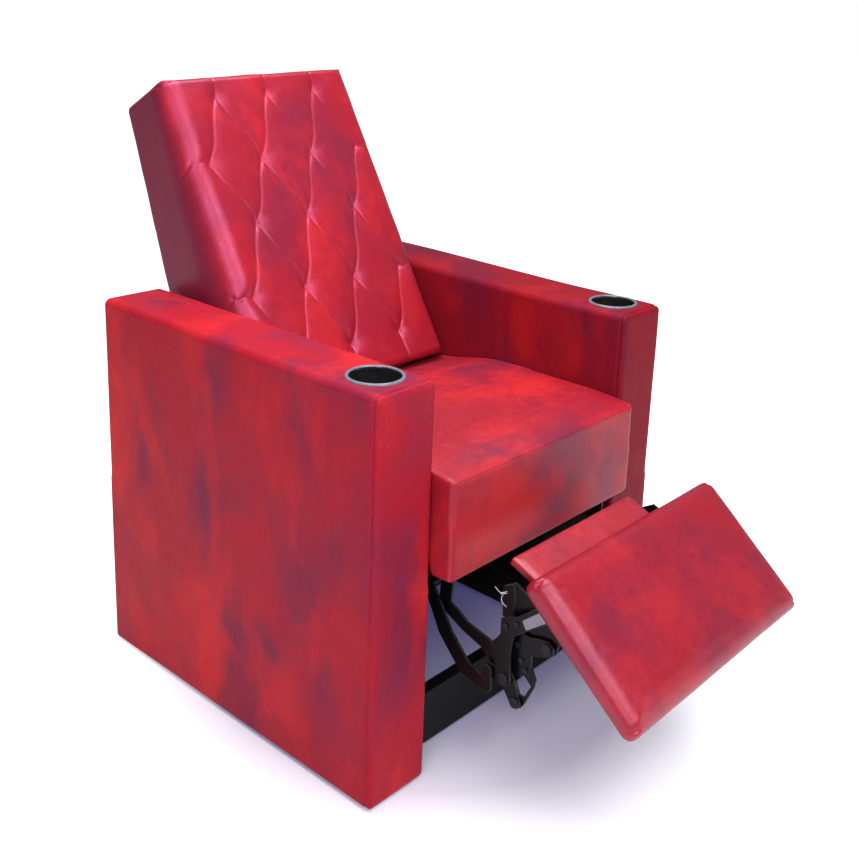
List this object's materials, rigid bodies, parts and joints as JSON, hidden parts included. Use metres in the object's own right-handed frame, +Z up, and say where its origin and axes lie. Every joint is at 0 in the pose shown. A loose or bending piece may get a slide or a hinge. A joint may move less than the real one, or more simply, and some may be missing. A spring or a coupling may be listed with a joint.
{
  "type": "recliner",
  "caption": "Push-back recliner with box arms, cup holders, a tufted back and a folding footrest, shown half open; marbled red leatherette over a steel linkage.",
  "frame": {"origin": "bottom centre of the whole object's bounding box, on the floor", "axes": "+Z up, the sitter faces -Y, +X is the sitter's left; X = 0 is the mirror plane"},
  "size_m": [0.73, 1.1496, 1.0181],
  "materials": {
    "leather": "marbled red and burgundy leatherette, satin",
    "padding": "foam under marbled red and burgundy leatherette, satin",
    "wood": "plywood and boards, black dust cloth or stain where they show",
    "black_steel": "black semi-gloss paint",
    "rivet_steel": "black oxide, slightly shiny",
    "painted_rail": "black satin paint",
    "cup_plastic": "black, glossy rim",
    "glide_plastic": "black, matte",
    "webbing": "woven elastic webbing"
  },
  "bodies": {
    "base": {"right_arm_cover": "leather", "right_arm_frame": "wood", "right_cup_holder": "cup_plastic", "left_arm_cover": "leather", "left_arm_frame": "wood", "left_cup_holder": "cup_plastic", "floor_glides": "glide_plastic", "front_base_rail": "painted_rail", "rear_base_rail": "painted_rail", "right_base_angle": "black_steel", "left_base_angle": "black_steel", "base_bolts": "rivet_steel", "base_rivets": "rivet_steel"},
    "front_rockers": {"right_front_rocker": "black_steel", "left_front_rocker": "black_steel", "front_rocker_tube": "black_steel"},
    "rear_rockers": {"right_rear_rocker": "black_steel", "left_rear_rocker": "black_steel", "rear_rocker_tube": "black_steel"},
    "seat": {"seat_frame": "wood", "seat_webbing": "webbing", "seat_cushion": "padding", "right_seat_plate": "black_steel", "left_seat_plate": "black_steel", "seat_rivets": "rivet_steel", "seat_bolts": "rivet_steel"},
    "back": {"back_cushion": "padding", "back_frame": "wood", "back_rear_panel": "leather", "right_back_bracket": "black_steel", "left_back_bracket": "black_steel", "back_bolts": "rivet_steel"},
    "front_links": {"right_front_link": "black_steel", "left_front_link": "black_steel", "front_link_rivets": "rivet_steel"},
    "rear_links": {"right_rear_link": "black_steel", "left_rear_link": "black_steel"},
    "ottoman_links": {"right_ottoman_link": "black_steel", "left_ottoman_link": "black_steel", "ottoman_link_studs": "rivet_steel"},
    "scissor_links": {"right_scissor_link": "black_steel", "left_scissor_link": "black_steel", "scissor_link_studs": "rivet_steel"},
    "footrest": {"footrest_pad": "padding", "footrest_board": "wood", "right_footrest_bracket": "black_steel", "left_footrest_bracket": "black_steel", "footrest_cross_bar": "black_steel", "footrest_rivets": "rivet_steel", "footrest_screws": "rivet_steel"},
    "flipper": {"flipper_pad": "padding", "flipper_board": "wood", "right_flipper_bracket": "black_steel", "left_flipper_bracket": "black_steel", "flipper_rivets": "rivet_steel"}
  },
  "joints": [
    {"name": "front_rocker_swing", "type": "hinge", "parent": "base", "child": "front_rockers", "pos_m": [0, -0.06837, 0.15], "axis": [1, 0, 0], "range_deg": [-19, 20]},
    {"name": "rear_rocker_swing", "type": "hinge", "parent": "base", "child": "rear_rockers", "pos_m": [0, 0.21163, 0.15], "axis": [1, 0, 0], "range_deg": [-19.2, 20.2]},
    {"name": "seat_carry", "type": "hinge", "parent": "front_rockers", "child": "seat", "pos_m": [0, -0.04927, 0.25833], "axis": [1, 0, 0], "range_deg": [-20.2, 19.2]},
    {"name": "back_recline", "type": "hinge", "parent": "seat", "child": "back", "pos_m": [0, 0.18163, 0.416], "axis": [-1, 0, 0], "range_deg": [-15.02, 15.8]},
    {"name": "footrest_extend", "type": "hinge", "parent": "seat", "child": "front_links", "pos_m": [0, -0.21697, 0.34], "axis": [-1, 0, 0], "range_deg": [-40, 30]},
    {"name": "rear_link_swing", "type": "hinge", "parent": "seat", "child": "rear_links", "pos_m": [0, -0.15387, 0.3546], "axis": [-1, 0, 0], "range_deg": [-35.98, 27.06]},
    {"name": "ottoman_link_turn", "type": "hinge", "parent": "front_links", "child": "ottoman_links", "pos_m": [0, -0.35537, 0.18], "axis": [-1, 0, 0], "range_deg": [-56.07, 74.66]},
    {"name": "scissor_link_turn", "type": "hinge", "parent": "front_links", "child": "scissor_links", "pos_m": [0, -0.33697, 0.2155], "axis": [-1, 0, 0], "range_deg": [-55.44, 73.82]},
    {"name": "footrest_turn", "type": "hinge", "parent": "ottoman_links", "child": "footrest", "pos_m": [0, -0.40207, 0.2874], "axis": [-1, 0, 0], "range_deg": [-77.36, 58.09]},
    {"name": "flipper_turn", "type": "hinge", "parent": "footrest", "child": "flipper", "pos_m": [0, -0.38437, 0.339], "axis": [-1, 0, 0], "range_deg": [-39.82, 53]}
  ],
  "couplings": [
    {"joint": "rear_rocker_swing", "follows": "front_rocker_swing", "ratio": 1},
    {"joint": "seat_carry", "follows": "front_rocker_swing", "ratio": -1},
    {"joint": "back_recline", "follows": "front_rocker_swing", "ratio": 0.78},
    {"joint": "rear_link_swing", "follows": "footrest_extend", "ratio": 0.892},
    {"joint": "ottoman_link_turn", "follows": "footrest_extend", "ratio": -1.859},
    {"joint": "scissor_link_turn", "follows": "footrest_extend", "ratio": -1.838},
    {"joint": "footrest_turn", "follows": "footrest_extend", "ratio": 1.9264},
    {"joint": "flipper_turn", "follows": "footrest_extend", "ratio": -1.3174}
  ]
}
